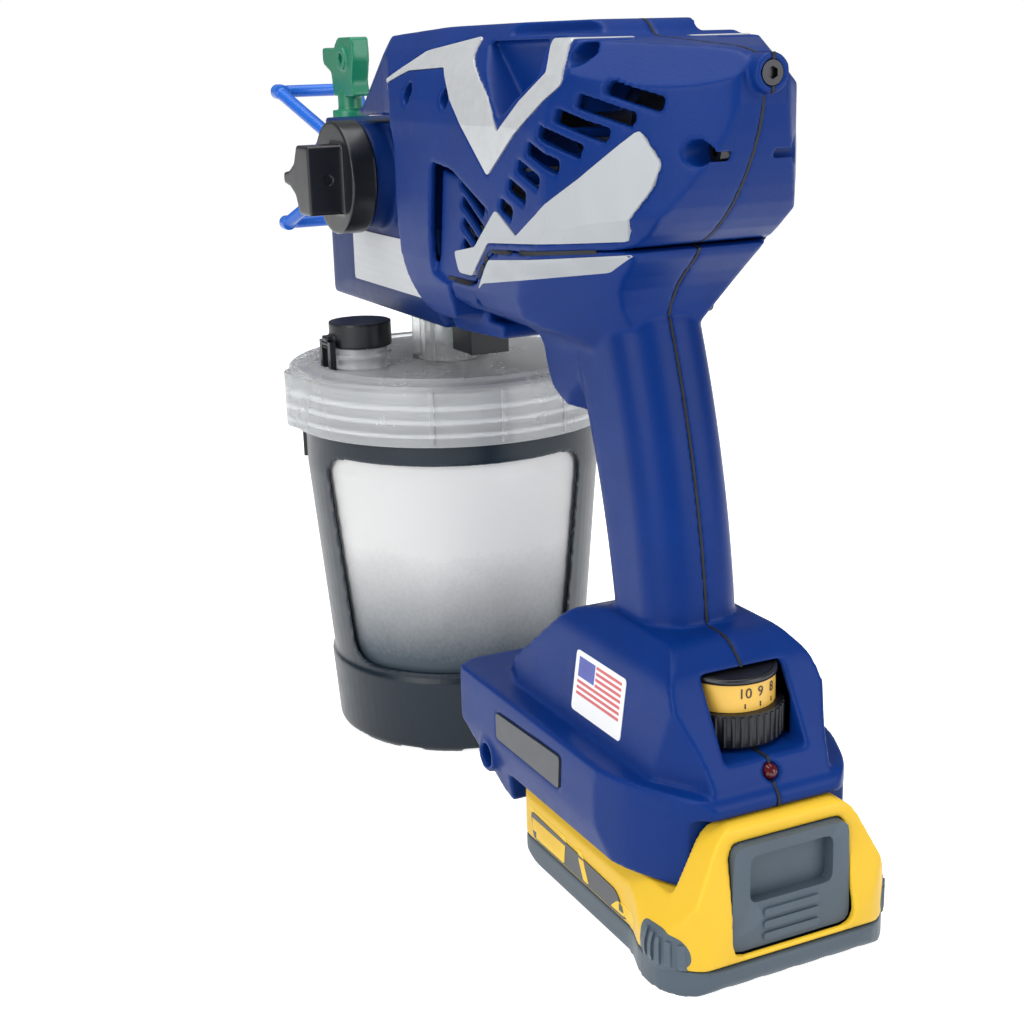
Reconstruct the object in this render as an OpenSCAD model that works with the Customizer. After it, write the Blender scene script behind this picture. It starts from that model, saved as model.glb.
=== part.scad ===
// Airless paint sprayer, hand held, with a slide-on battery and a screw-on cup.
// Row frame in millimetres: +X is the spray direction, +Y the operator's left,
// +Z up, origin at the centre of the battery's bottom face.

/* [Overall] */
// height of the spray axis above the floor
spray_z = 227; // [224:1:230]
// height of the roof above the spray axis
roof_rise = 55; // [51:1:60]
// greatest half width of the upper housing
half_w = 41; // [38:0.5:44]
// wall of the moulded shells
wall = 2.6; // [2:0.1:3.2]

/* [Battery] */
// length of the battery pack
pack_len = 115; // [108:1:120]
// width of the battery pack
pack_w = 75; // [70:1:80]
// height of the pack's dark tray
tray_h = 8.5; // [7.5:0.25:10]
// height of the deck that slides under the base
deck_z = 28; // [26:0.5:30]
// height of the pack's rear block
rear_block_z = 51; // [48:0.5:53]

/* [Cup and lid] */
// distance from the battery's centre to the cup's axis
cup_x = 188; // [186:0.5:192]
// outer diameter of the lid
lid_d = 131; // [126:1:134]
// height of the lid's top face
lid_z = 153; // [150:0.5:154]
// outer diameter of the cup support at the floor
cup_d = 105; // [98:1:110]

/* [Grip] */
// width of the handle
grip_w = 33; // [30:0.5:36]
// front to back depth of the handle
grip_d = 42; // [39:0.5:45]
// bend radius of the handle
grip_bend = 340; // [300:10:420]

/* [Controls] */
// diameter of the prime and spray knob
knob_d = 43; // [38:1:46]
// diameter of the speed wheel
dial_d = 36; // [32:1:38]
// how far the trigger swings
trigger_swing = 10; // [6:1:12]

/* [Hidden] */
$fn = 48;
e = 0.01;
gap = 0.3;              // between pieces of different bodies
fit = 0.06;             // radial running clearance
roof_z = spray_z + roof_rise;
rear_x = -35;           // rear of the upper housing
claw_x = 137;           // front edge of the housing's side claws
nose_x = 268;           // front of the hood
arm_z = spray_z - 45;   // underside of the fixed arm over the trigger
seam_z = spray_z - 17;  // seam between upper housing and handle shells
hood_z = spray_z + 24;  // underside of the hood
cover_z = lid_z + 20;   // underside of the pump cover
cover_x = 266;          // front of the pump cover
cover_w = 26;           // half width of the pump cover
base_z = 58;            // top of the base's skirt
tower_z = 92;           // top of the base's tower
base_front = pack_len / 2 + 42;
base_w = pack_w / 2 + 4.5;
slot_z = deck_z + gap;
rear_in = -pack_len / 2 + 15.5;  // front face of the pack's rear block
contact_x = pack_len / 2 - 33.5; // rear end of the pack's contacts
tip_x = 288;            // axis of the spray tip
motor_z = spray_z + 22;
pinion_n = 10;
gear_n = 45;
tooth = 0.8;            // gear module

function unit(v) = v / norm(v);
function near(p, i) = p[(i + len(p)) % len(p)];
function inset(p, d) = [for (i = [0 : len(p) - 1])
    let (u = unit(p[i] - near(p, i - 1)), w = unit(near(p, i + 1) - p[i]),
         m = [-u.y, u.x], n = [-w.y, w.x])
    p[i] + d * (m + n) / (1 + m * n)];
function soft(p, r, n = 3) = [for (i = [0 : len(p) - 1])
    let (a = near(p, i - 1), b = p[i], c = near(p, i + 1),
         u = unit(a - b), w = unit(c - b),
         t = min(r, 0.45 * norm(a - b), 0.45 * norm(c - b)))
    for (k = [0 : n]) let (s = k / n)
        (1 - s) * (1 - s) * (b + t * u) + 2 * s * (1 - s) * b + s * s * (b + t * w)];
function both(h) = concat(h, [for (i = [len(h) - 1 : -1 : 0]) [-h[i].x, h[i].y]]);
function sides(h) = concat(h, [for (i = [len(h) - 1 : -1 : 0]) [h[i].x, -h[i].y]]);
function ring(r, n, a = 0) = [for (i = [0 : n - 1]) r * [cos(a + 360 * i / n), sin(a + 360 * i / n)]];
function shift(p, v) = [for (q = p) q + v];

// side view outline pushed through Y, front view along X, plan view along Z
module side(p, y0, y1) translate([0, y1, 0]) rotate([90, 0, 0]) linear_extrude(y1 - y0) polygon(p);
module front(p, x0, x1) translate([x0, 0, 0]) rotate([90, 0, 90]) linear_extrude(x1 - x0) polygon(p);
module plan(p, z0, z1) translate([0, 0, z0]) linear_extrude(z1 - z0) polygon(p);
module xrod(x0, x1, r, y = 0, z = 0) translate([x0, y, z]) rotate([0, 90, 0]) cylinder(r = r, h = x1 - x0);
module yrod(y0, y1, r, x = 0, z = 0) translate([x, y0, z]) rotate([-90, 0, 0]) cylinder(r = r, h = y1 - y0);
module zrod(z0, z1, r, x = 0, y = 0) translate([x, y, z0]) cylinder(r = r, h = z1 - z0);
module box(a, b) translate(a) cube(b - a);
module rod(a, b, r) {
    d = b - a;
    translate(a) rotate([0, acos(d.z / norm(d)), atan2(d.y, d.x)]) cylinder(r = r, h = norm(d));
}
module left_half() intersection() { box([-90, 0, -5], [345, 75, 300]); children(); }
module right_half() intersection() { box([-90, -75, -5], [345, 0, 300]); children(); }
module on_both() { children(); mirror([0, 1, 0]) children(); }

// ---------- upper housing ----------
pad_x = 27;             // rear end of the raised roof pad
pad_w = 16.5;           // half width of the pad at its rear end
housing_side = [
    [claw_x - 38, arm_z], [claw_x - 10, arm_z + 1], [claw_x, arm_z + 16], [claw_x, hood_z - 3],
    [claw_x + 18, hood_z], [nose_x - 10, hood_z - 3], [nose_x, hood_z + 2], [nose_x - 26, roof_z - 13],
    [nose_x - 78, roof_z - 4], [nose_x - 150, roof_z - 1], [pad_x + 1, roof_z - 1], [pad_x - 3, roof_z - 6],
    [rear_x + 10, roof_z - 10], [rear_x + 1, roof_z - 12.5], [rear_x, roof_z - 26],
    [rear_x + 5, spray_z + 16], [rear_x + 15, spray_z + 1], [rear_x + 30, seam_z + 6],
    [claw_x - 78, seam_z + 1], [claw_x - 62, seam_z - 12], [claw_x - 38, seam_z - 12]];
housing_front = both([[half_w - 10, arm_z - 8], [half_w - 2, arm_z + 12], [half_w, seam_z + 4],
    [half_w, spray_z + 31], [half_w - 8, roof_z - 8], [half_w - 22, roof_z + 6]]);
housing_plan = sides([[nose_x + 3, 7], [nose_x - 6, 16], [nose_x - 32, 25], [claw_x + 20, 33],
    [claw_x + 2, half_w + 1], [18, half_w + 1], [-7, 30], [rear_x + 9, 17], [rear_x - 2, 6]]);
// slanted outline that narrows the rear of the body down to the handle
slant_plan = sides([[300, half_w + 3], [34, half_w + 3], [20, 30], [8, 15], [0, 5]]);
module slant(d, n) translate([rear_x + 15, 0, seam_z]) rotate([0, -52, 0])
    translate([0, 0, -150]) linear_extrude(300) polygon(soft(inset(slant_plan, d), 10, n));

// rear corners of the roof, which fall away outwards and backwards
module roof_fall(d) on_both() translate([14, 24, roof_z]) rotate([0, 50, 125])
    translate([-60, -60, -d]) cube([120, 120, 60]);
// the hood falls away on both sides towards its nose
module hood_fall(d) on_both() intersection() {
    box([claw_x, 0, hood_z + 1.5 - d], [nose_x + 20, 60, roof_z + 10]);
    translate([claw_x + 58, 28, spray_z + 29]) rotate([0, 0, -21]) rotate([25, 0, 0])
        translate([-60, -d, -60]) cube([160, 60, 120]);
}
module housing_form(d, n = 2) difference() {
    intersection() {
        side(soft(inset(housing_side, d), 7, n), -60, 60);
        front(soft(inset(housing_front, d), 10, n), -60, 300);
        plan(soft(inset(housing_plan, d), 14, n), 150, 300);
        slant(d, n);
    }
    roof_fall(d);
    hood_fall(d);
    on_both() plan([[rear_x - 20, pad_w - d], [pad_x, pad_w - d], [pad_x + 36, pad_w + 11 - d],
        [pad_x + 36, half_w + 20], [rear_x - 20, half_w + 20]], roof_z - 5 - d, roof_z + 12);
}
// silver V inlay: a sliver along the roof edge and two arms that meet low down
vee = [[claw_x + 21, roof_z - 22], [claw_x - 7, roof_z - 15], [claw_x - 37, roof_z - 14],
    [claw_x - 79, roof_z - 47], [claw_x - 98, roof_z - 34], [claw_x - 125, roof_z - 19],
    [claw_x - 118.5, roof_z - 6.5], [claw_x - 107, roof_z - 6.5], [claw_x - 114, roof_z - 16],
    [claw_x - 87, roof_z - 34], [claw_x - 79, roof_z - 24],
    [claw_x - 57, roof_z - 12], [claw_x - 54, roof_z - 5], [claw_x - 16, roof_z - 9]];
scoop = [[claw_x - 62, roof_z - 6.5], [claw_x - 104, roof_z - 6.5], [claw_x - 109, roof_z - 17],
    [claw_x - 87, roof_z - 30], [claw_x - 80, roof_z - 23]];
// recess behind the claw with its slanted slots
bay = [[claw_x - 33, spray_z + 10], [claw_x - 27, spray_z - 28], [claw_x - 37, spray_z - 31],
    [claw_x - 58, spray_z - 33], [claw_x - 79, spray_z - 4], [claw_x - 50, spray_z + 8]];
panel = [[claw_x - 50, spray_z - 19], [claw_x - 67, spray_z - 16], [claw_x - 84, spray_z - 3],
    [claw_x - 98, spray_z - 10], [claw_x - 113, spray_z - 2], [claw_x - 131, spray_z + 9],
    [claw_x - 149, spray_z + 23], [claw_x - 154.5, spray_z + 14], [claw_x - 152, spray_z + 7],
    [claw_x - 141, seam_z + 8.7],
    [claw_x - 77, seam_z + 3.7], [claw_x - 62, seam_z - 8.5], [claw_x - 52, seam_z - 8.5]];
strip_n = 8;

module vee_cut(y0 = 10) side(soft(vee, 1.2, 2), y0, 60);
module panel_cut(y0 = 14) side(soft(panel, 1.2, 2), y0, 60);
module strip_slots() for (i = [0 : strip_n - 1]) let (t = i / (strip_n - 1), h = 8 + 11 * sin(120 * t + 8))
    translate([claw_x - 91 - 56 * t, 0, spray_z - 2 + 42.5 * t - 8 * t * t]) rotate([0, 72, 0])
        translate([-2.1, 12, -h / 2]) cube([4.2, 48, h]);
module bay_slots() for (i = [0 : 3]) let (h = [20, 22, 17, 8][i])
    translate([claw_x - 50, 0, spray_z + 5 - 7 * i]) rotate([0, 60, 0]) translate([-1.9, 20, -h]) cube([3.8, 40, h]);
keel_side = [[claw_x - 1, cover_z + 0.5], [claw_x - 1, arm_z + 17], [claw_x - 37.5, arm_z + 17],
    [claw_x - 37.5, arm_z - gap], [claw_x - 49.5, arm_z - gap], [claw_x - 48, cover_z + 3]];
keel_front = both([[cover_w - 7, cover_z - 2], [cover_w - 3, cover_z + 5], [cover_w - 3, arm_z + 20]]);
module keel_form(d) intersection() {
    side(soft(inset(keel_side, d), 2.5), -40, 40);
    front(soft(inset(keel_front, d), 3), 60, 200);
}
housing_screws = [[claw_x - 44, spray_z + 31, 14], [claw_x - 11, spray_z + 32, 14],
    [claw_x - 126.5, spray_z + 44, 14], [rear_x + 9, spray_z + 17, 7]];
module housing_screw_bores(r) for (p = housing_screws) yrod(-60, 60, r, p.x, p.y);
module housing_shell() difference() {
    union() {
        difference() {
            housing_form(0);
            difference() {
                housing_form(wall, 1);
                on_both() side(inset(scoop, -wall), half_w - 13 - wall, 60);
                on_both() side(inset(bay, -wall), half_w - 3.5 - wall, 60);
            }
        }
        // keel that closes the pump bay from below, up to the trigger
        difference() {
            keel_form(0);
            keel_form(wall);
        }
        // screw posts
        intersection() {
            housing_form(1.5, 1);
            difference() {
                housing_screw_bores(4.5);
                xrod(2, 46, 20 + gap, 0, motor_z);
            }
        }
        // ribs that cradle the motor and the pump
        for (q = [[9, 20 + gap, motor_z], [36, 20 + gap, motor_z], [block_x + 6, 17 + gap, spray_z]]) intersection() {
            housing_form(1.5, 1);
            difference() {
                box([q[0], -60, seam_z + 3], [q[0] + 2.4, 60, roof_z]);
                xrod(q[0] - 1, q[0] + 4, q[1], 0, q[2]);
            }
        }
    }
    on_both() {
        vee_cut();
        panel_cut();
        side(soft(scoop, 2, 2), half_w - 13, 60);
        side(soft(bay, 2, 2), half_w - 3.5, 60);
        for (p = housing_screws) yrod(p[2], 60, 3.6, p.x, p.y);
        strip_slots();
        bay_slots();
    }
    housing_screw_bores(1.6);
    // mouth for the pump and its cover
    box([claw_x - 4, -cover_w - gap, cover_z - 2], [claw_x + 30, cover_w + gap, hood_z - 3]);
    xrod(rear_x - 8, rear_x + 12, 2.1, 0, roof_z - 17);
    // slot over the gear train
    box([gear_x - 1, -12, arm_z - 5], [claw_x - 50, 12, seam_z + 2]);
}
module rear_boss() difference() {
    xrod(rear_x - 4, rear_x + 9, 5.5, 0, roof_z - 17);
    xrod(rear_x - 8, rear_x + 12, 2.1, 0, roof_z - 17);
    xrod(rear_x - 8, rear_x - 1, 3.6, 0, roof_z - 17);
}
module housing_half() {
    housing_shell();
    rear_boss();
}
module housing_left() color([0.1, 0.17, 0.42]) left_half() housing_half();
module housing_right() color([0.1, 0.17, 0.42]) right_half() housing_half();
module trim_form() intersection() {
    difference() { housing_form(0); housing_form(wall, 1); }
    vee_cut();
}
module panel_form() intersection() {
    difference() { housing_form(0); housing_form(wall, 1); }
    panel_cut();
}
module trim_left() color([0.78, 0.79, 0.8]) trim_form();
module trim_right() color([0.78, 0.79, 0.8]) mirror([0, 1, 0]) trim_form();
module panel_left() color([0.66, 0.68, 0.69]) panel_form();
module panel_right() color([0.66, 0.68, 0.69]) mirror([0, 1, 0]) panel_form();

// ---------- handle and base ----------
bend_x = -19 + grip_bend + grip_d / 2 + 10;
bend_z = 62;
arm_side = [[claw_x - 38.2, arm_z], [claw_x - 38.2, seam_z - 12.3],
    [claw_x - 62.2, seam_z - 12.3], [claw_x - 78.2, seam_z + 0.7], [rear_x + 30, seam_z + 5.7],
    [rear_x + 46, seam_z - 8], [rear_x + 52, seam_z - 20], [rear_x + 51, arm_z - 12],
    [claw_x - 101, arm_z - 27], [claw_x - 90, arm_z - 28], [claw_x - 78, arm_z - 25],
    [claw_x - 70, arm_z - 19], [claw_x - 66, arm_z - 10], [claw_x - 64, arm_z]];
arm_front = both([[grip_w / 2 - 1.5, arm_z - 29], [grip_w / 2 - 0.5, arm_z - 2], [grip_w / 2 + 6, arm_z + 2.5], [half_w - 4, arm_z + 7.5],
    [half_w, seam_z - 2], [half_w, seam_z + 12]]);
module arm_form(d, n = 2) intersection() {
    side(soft(inset(arm_side, d), 6, n), -60, 60);
    front(soft(inset(arm_front, d), 9, n), -60, 300);
    plan(soft(inset(housing_plan, d), 14, n), 140, 230);
    slant(d, n);
}
grip_top = 180 - asin((arm_z + 1.8 - bend_z) / grip_bend);
grip_low = 180 - asin((tower_z - 6.3 - bend_z) / grip_bend);
module grip_arc(d, x0, x1) translate([bend_x, 0, bend_z]) rotate([90, 0, 0]) rotate([0, 0, grip_top])
    rotate_extrude(angle = grip_low - grip_top, $fn = 96) translate([grip_bend, 0]) {
        for (x = [x0 + 13, x1 - 13]) for (t = [-1, 1]) translate([x, t * (grip_w / 2 - 13)]) circle(r = 13 - d);
        translate([x0 + d, 13 - grip_w / 2]) square([x1 - x0 - 2 * d, grip_w - 26]);
        translate([x0 + 13, d - grip_w / 2]) square([x1 - x0 - 26, grip_w - 2 * d]);
    }
// the grip narrows downwards: its front follows the same bend, tipped back
module grip_form(d) intersection() {
    grip_arc(d, -grip_d / 2 - 8, grip_d / 2);
    translate([40, 0, 140]) rotate([0, 4, 0]) translate([-40, 0, -140]) grip_arc(d, -grip_d / 2, grip_d / 2 + 8);
}
tail_x = -47;
tower_side = [[tail_x, base_z - 6], [base_front - 14, base_z - 6], [base_front - 18, base_z],
    [40, tower_z + 1], [25, tower_z + 5], [-18, tower_z + 5], [-26, tower_z - 1], [tail_x + 3, base_z + 3]];
tower_front = both([[33, base_z - 8], [31, base_z + 2], [26, tower_z - 3], [18, tower_z + 7]]);
module tower_form(d) intersection() {
    side(soft(inset(tower_side, d), 4), -60, 60);
    front(soft(inset(tower_front, d), 3.5), -60, 110);
    plan(soft(inset(sides([[base_front - 12, 18], [base_front - 16, 26], [60, 34], [-20, 34], [-40, 22], [-50, 20]]), d), 4), 40, 110);
}
skirt_side = [[rear_in - 6, rear_block_z + gap], [rear_in + gap, rear_block_z + gap], [rear_in + gap, slot_z],
    [pack_len / 2 + 0.8, slot_z], [pack_len / 2 + 0.8, 16.5], [base_front - 30, 21],
    [base_front - 11, 34], [base_front, 42], [base_front, base_z], [rear_in - 3, base_z], [rear_in - 6, base_z - 3]];
skirt_front = both([[base_w - 5, 8], [base_w - 3, 24], [base_w, 38], [base_w, base_z - 4], [base_w - 1, base_z + 3]]);
skirt_plan = sides([[base_front + 1, base_w - 12], [base_front - 6, base_w + 1], [-4, base_w + 1],
    [-22, base_w - 3.5], [rear_in + 6, base_w - 10], [rear_in - 2, 27], [rear_in - 7, 21]]);
module skirt_form(d, n = 2) intersection() {
    side(soft(inset(skirt_side, d), 2.5, n), -60, 60);
    front(soft(inset(skirt_front, d), 3, n), -60, 110);
    plan(soft(inset(skirt_plan, d), 4, n), 5, 70);
}
// rail channel for the battery
module rail_channel() {
    box([-90, -21, deck_z - 2], [contact_x + 22, 21, slot_z + 4.4]);
    box([-90, -25, slot_z + 4], [contact_x + 22, 25, slot_z + 11]);
}
board_z = 57;
lamp_z = 61.2;
module handle_shell() difference() {
    union() {
        difference() {
            union() {
                arm_form(0);
                grip_form(0);
                tower_form(0);
                skirt_form(0);
            }
            arm_form(wall);
            grip_form(wall);
            tower_form(wall);
            skirt_form(wall);
        }
        // roof of the rail channel
        intersection() {
            skirt_form(1);
            difference() {
                box([rear_in - 6, -29, slot_z - 5], [contact_x + 34, 29, slot_z + 13.6]);
                box([rear_in + wall, -26.4, slot_z + 13.6], [contact_x + 23, 26.4, slot_z + 20]);
            }
        }
        // screw posts
        intersection() {
            union() { skirt_form(1); tower_form(1); grip_form(1); arm_form(1); }
            handle_screw_bores(4, 60);
        }
        // raised rings around the front screw holes
        on_both() yrod(base_w - 12, base_w + 0.5, 6.2, handle_screws[0].x, handle_screws[0].y);
        // ears for the trigger's pin
        intersection() {
            arm_form(1);
            on_both() yrod(7.3, 60, 4.5, pivot_x, pivot_z);
        }
        // walls of the dial's pocket
        intersection() {
            tower_form(1);
            union() {
                box([-60, -17, 63], [-1, 17, 65.5]);
                box([-60, -17, 89.5], [-1, 17, 92]);
                on_both() box([-60, 14.5, 63], [-31, 17, 91]);
            }
        }
        // pillars for the control board
        for (x = [-24, 54]) for (y = [-18, 18]) zrod(slot_z + 13, board_z, 3, x, y);
    }
    yrod(-60, 60, 2, pivot_x, pivot_z);
    box([contact_x + 10.5, -16, slot_z + 10], [contact_x + 22, 16, slot_z + 20]);
    rail_channel();
    handle_screw_bores(1.6, screw_in + 4);
    for (p = handle_screws) yrod(-60, -p[2], 3.4, p.x, p.y);
    on_both() yrod(base_w - 9, 60, 4.2, handle_screws[0].x, handle_screws[0].y);
    box([-60, -14.5, 65.5], [-10, 14.5, 89.5]);
    zrod(board_z, 70, 8 + gap, dial_x);
    // slot for the trigger
    box([pivot_x - 23 - gap, -7, arm_z - 18], [pivot_x + 9, 7, arm_z + 15.8]);
    box([pivot_x - 18, -7, arm_z - 25], [pivot_x + 9, 7, arm_z - 17]);
    // lamp hole
    xrod(-60, tail_x + 12, 2.6, 0, lamp_z);
}
handle_screws = [[base_front - 28, 31, 22], [27, tower_z - 12, 20], [12, tower_z + 38, 10],
    [claw_x - 105, arm_z + 10, 22]];
screw_in = 9;           // how far a screw reaches past the parting plane
module handle_screw_bores(r, y1) for (p = handle_screws) yrod(-60, y1, r, p.x, p.y);
module handle_left() color([0.1, 0.17, 0.42]) difference() {
    left_half() handle_shell();
    plate_form(gap);
}
module handle_right() color([0.1, 0.17, 0.42]) right_half() handle_shell();

// ---------- pump ----------
cover_side = [[claw_x + gap, cover_z], [cover_x - 6, cover_z], [cover_x + 2, cover_z + 6],
    [cover_x - 2, hood_z - 10], [cover_x - 8, hood_z - 3.6], [claw_x + gap, hood_z - 3.6]];
cover_plan = sides([[cover_x + 3, 14], [cover_x - 8, cover_w - 2], [cover_x - 40, cover_w], [claw_x, cover_w]]);
cover_front = both([[cover_w - 4, cover_z - 1], [cover_w, cover_z + 9], [cover_w, hood_z + 3]]);
module cover_form(d) intersection() {
    side(soft(inset(cover_side, d), 4), -50, 50);
    front(soft(inset(cover_front, d), 3, 2), 100, 300);
    plan(soft(inset(cover_plan, d), 8), 150, 260);
}
module cover_bores() {
    xrod(cover_x - 20, cover_x + 20, 12.5, 0, spray_z);
    zrod(cover_z - 6, cover_z + 6, 15, cup_x);
}
module pump_cover() color([0.11, 0.2, 0.5]) difference() {
    union() {
        difference() { cover_form(0); cover_form(2.4); }
        on_both() for (x = [cup_x - 34, cup_x + 34])
            box([x, 17, spray_z - 8], [x + 3, cover_w - 1, spray_z + 8]);
        yrod(cover_w - 3, cover_w + 9, 20, cup_x + 2, spray_z);
    }
    cover_bores();
    yrod(cover_w - 8, cover_w + 6.6, 17.6, cup_x + 2, spray_z);
    yrod(0, 60, 6, cup_x + 2, spray_z);
    box([claw_x - 5, -19, cover_z + 4], [claw_x + 8, 19, spray_z + 17 + gap]);
}
module label_form() difference() {
    union() {
        side(soft([[claw_x + 8, hood_z - 9], [claw_x + 8, spray_z - 14], [cup_x - 21, spray_z - 14],
            [cup_x - 19.5, spray_z + 12], [cup_x - 21, hood_z - 9]], 1, 2), cover_w, cover_w + 0.5);
        side(soft([[claw_x + 8, cover_z + 10.5], [cover_x - 44, cover_z + 10.5], [cover_x - 44, spray_z - 23],
            [claw_x + 8, spray_z - 23]], 1.5, 2), cover_w, cover_w + 0.5);
    }
}
module cover_labels() color([0.74, 0.75, 0.76]) {
    label_form();
    mirror([0, 1, 0]) label_form();
}
piston_r = 3.4;
piston_ring = 10;
block_x = claw_x - 30;
module piston_at() for (a = [90, 210, 330])
    translate([0, piston_ring * cos(a), spray_z + piston_ring * sin(a)]) children();
module pump_block() color([0.72, 0.73, 0.75]) difference() {
    union() {
        xrod(block_x, claw_x + 20, 17, 0, spray_z);
        box([claw_x + 12, -17, spray_z - 22], [cover_x - 14, 17, spray_z + 16]);
        zrod(cover_z - 1, spray_z - 20, 13, cup_x);
        yrod(16, cover_w + 6, 9, cup_x + 2, spray_z);
    }
    piston_at() xrod(block_x - 1, block_x + 34, piston_r + fit);
    xrod(claw_x + 10, cover_x, 4, 0, spray_z);
    zrod(cover_z - 2, spray_z, 4, cup_x);
    yrod(0, cover_w + 8, 4 + fit, cup_x + 2, spray_z);
    xrod(cover_x - 18, cover_x, 7, 0, spray_z);
}
module outlet_valve() color([0.78, 0.78, 0.76]) difference() {
    union() {
        xrod(cover_x - 18, cover_x + 14, 7, 0, spray_z);
        xrod(cover_x - 13.9, cover_x + 3, 12, 0, spray_z);
        for (i = [0 : 4]) xrod(cover_x + 4 + 2 * i, cover_x + 5 + 2 * i, 7.6, 0, spray_z);
    }
    xrod(cover_x - 20, cover_x + 20, 3, 0, spray_z);
}
module inlet_nut() color([0.86, 0.88, 0.9, 0.6]) difference() {
    translate([cup_x, 0, lid_z]) rotate(15) linear_extrude(cover_z - lid_z - 1) polygon(ring(15, 6));
    zrod(lid_z - 1, cover_z, 9, cup_x);
}
module inlet_block() color([0.05, 0.05, 0.06]) difference() {
    box([cup_x - 40, -8, lid_z + 7], [cup_x - 22, 8, cover_z]);
    box([cup_x - 36, -5, lid_z + 6], [cup_x - 26, 5, cover_z - 4]);
}
module siphon_tube() color([0.9, 0.92, 0.93, 0.5]) difference() {
    union() {
        zrod(18, cover_z - 1, 5, cup_x);
        zrod(lid_z, lid_z + 6, 9, cup_x);
    }
    zrod(17, cover_z, 3, cup_x);
}
module suction_filter() color([0.85, 0.86, 0.86]) difference() {
    union() {
        zrod(8, 12, 11, cup_x);
        zrod(20, 24, 11, cup_x);
        zrod(11, 32, 7.5, cup_x);
        for (a = [0 : 45 : 315]) translate([cup_x + 9.6 * cos(a), 9.6 * sin(a), 11]) cylinder(r = 1, h = 10);
    }
    zrod(7, 33, 5, cup_x);
}
module piston(i) color([0.6, 0.6, 0.62]) {
    a = 90 + 120 * i;
    y = piston_ring * cos(a);
    z = spray_z + piston_ring * sin(a);
    xrod(gear_x + 22.5, block_x + 16, piston_r, y, z);
    xrod(gear_x + 22.5, gear_x + 25.5, 4.6, y, z);
}
module piston_a() piston(0);
module piston_b() piston(1);
module piston_c() piston(2);
module gear_shape(n, h, bore) difference() {
    linear_extrude(h) polygon([for (i = [0 : n - 1]) for (q = [[-0.3, -1.2], [-0.13, 1], [0.13, 1], [0.3, -1.2]])
        let (a = 360 * (i + q[0]) / n, r = tooth * (n / 2 + q[1])) r * [cos(a), sin(a)]]);
    translate([0, 0, -1]) cylinder(r = bore, h = h + 2);
}
gear_x = 62;
module drive_gear() color([0.62, 0.6, 0.55]) {
    translate([gear_x, 0, spray_z]) rotate([0, 90, 0]) gear_shape(gear_n, 6, 2);
    xrod(gear_x - 17, gear_x + 24, 3, 0, spray_z);
}
module wobble_plate() color([0.66, 0.66, 0.68]) difference() {
    union() {
        xrod(gear_x + 6.2, gear_x + 16, 7, 0, spray_z);
        translate([gear_x + 17, 0, spray_z]) rotate([0, 98, 0]) translate([0, 0, -3]) cylinder(r = 14, h = 6);
    }
    xrod(gear_x, gear_x + 40, 3, 0, spray_z);
}
module motor() color([0.35, 0.36, 0.38]) difference() {
    union() {
        xrod(4, 44, 20, 0, motor_z);
        xrod(0, 5, 7, 0, motor_z);
    }
    xrod(-20, 60, 2 + fit, 0, motor_z);
}
module motor_pinion() color([0.7, 0.66, 0.5]) {
    translate([gear_x - 0.5, 0, motor_z]) rotate([0, 90, 0]) gear_shape(pinion_n, 7, 1.5);
    xrod(2, gear_x + 9, 2, 0, motor_z);
}
module gear_case() color([0.2, 0.2, 0.22]) difference() {
    union() {
        box([44, -23, spray_z - 10], [50, 23, motor_z + 19]);
        box([50, -23, spray_z - 10], [gear_x + 2, -19.5, spray_z + 8]);
        box([50, 19.5, spray_z - 10], [gear_x + 2, 23, spray_z + 8]);
    }
    xrod(40, 52, 3 + fit, 0, spray_z);
    xrod(40, 52, 5, 0, motor_z);
}
module rear_screw() color([0.08, 0.08, 0.09]) difference() {
    union() {
        xrod(rear_x - 3.5, rear_x - 1, 3.4, 0, roof_z - 17);
        xrod(rear_x - 2, rear_x + 9, 2.05, 0, roof_z - 17);
    }
    translate([rear_x - 4, 0, roof_z - 17]) rotate([0, 90, 0]) cylinder(r = 1.8, h = 2, $fn = 6);
}
module screw_at(x, z, y) {
    difference() {
        union() {
            yrod(y, y + 3.2, 3, x, z);
            yrod(-screw_in, y + 0.2, 1.5, x, z);
        }
        yrod(y + 1.6, y + 4, 1.3, x, z);
    }
}
module case_screws() color([0.12, 0.12, 0.13]) {
    for (p = housing_screws) screw_at(p.x, p.y, p[2]);
    mirror([0, 1, 0]) for (p = handle_screws) screw_at(p.x, p.y, p[2]);
}

// ---------- knob ----------
knob_y = cover_w + 9 + gap;
knob_x = cup_x + 2;
knob_out = [[-12, -13], [1, -13], [5, -6], [11, -3], [18, -2], [18, 2], [11, 3], [5, 6], [1, 13], [-12, 13]];
module knob_body() color([0.06, 0.06, 0.07]) difference() {
    union() {
        yrod(knob_y, knob_y + 10, knob_d / 2, knob_x, spray_z);
        side(soft(shift(knob_out, [knob_x, spray_z]), 1, 2), knob_y + 9, knob_y + 24);
    }
    yrod(knob_y - 1, knob_y + 6, knob_d / 2 - 3, knob_x, spray_z);
    yrod(knob_y - 1, knob_y + 18, 3, knob_x, spray_z);
    xrod(knob_x - 14, knob_x - 3, 1.6, knob_y + 16, spray_z);
}
module valve_stem() color([0.7, 0.7, 0.72]) {
    yrod(6, knob_y + 18, 2.98, knob_x, spray_z);
    yrod(8, cover_w + 4, 4, knob_x, spray_z);
}
module knob_screw() color([0.15, 0.15, 0.16]) xrod(knob_x - 11, knob_x - 3.1, 1.55, knob_y + 16, spray_z);

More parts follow.
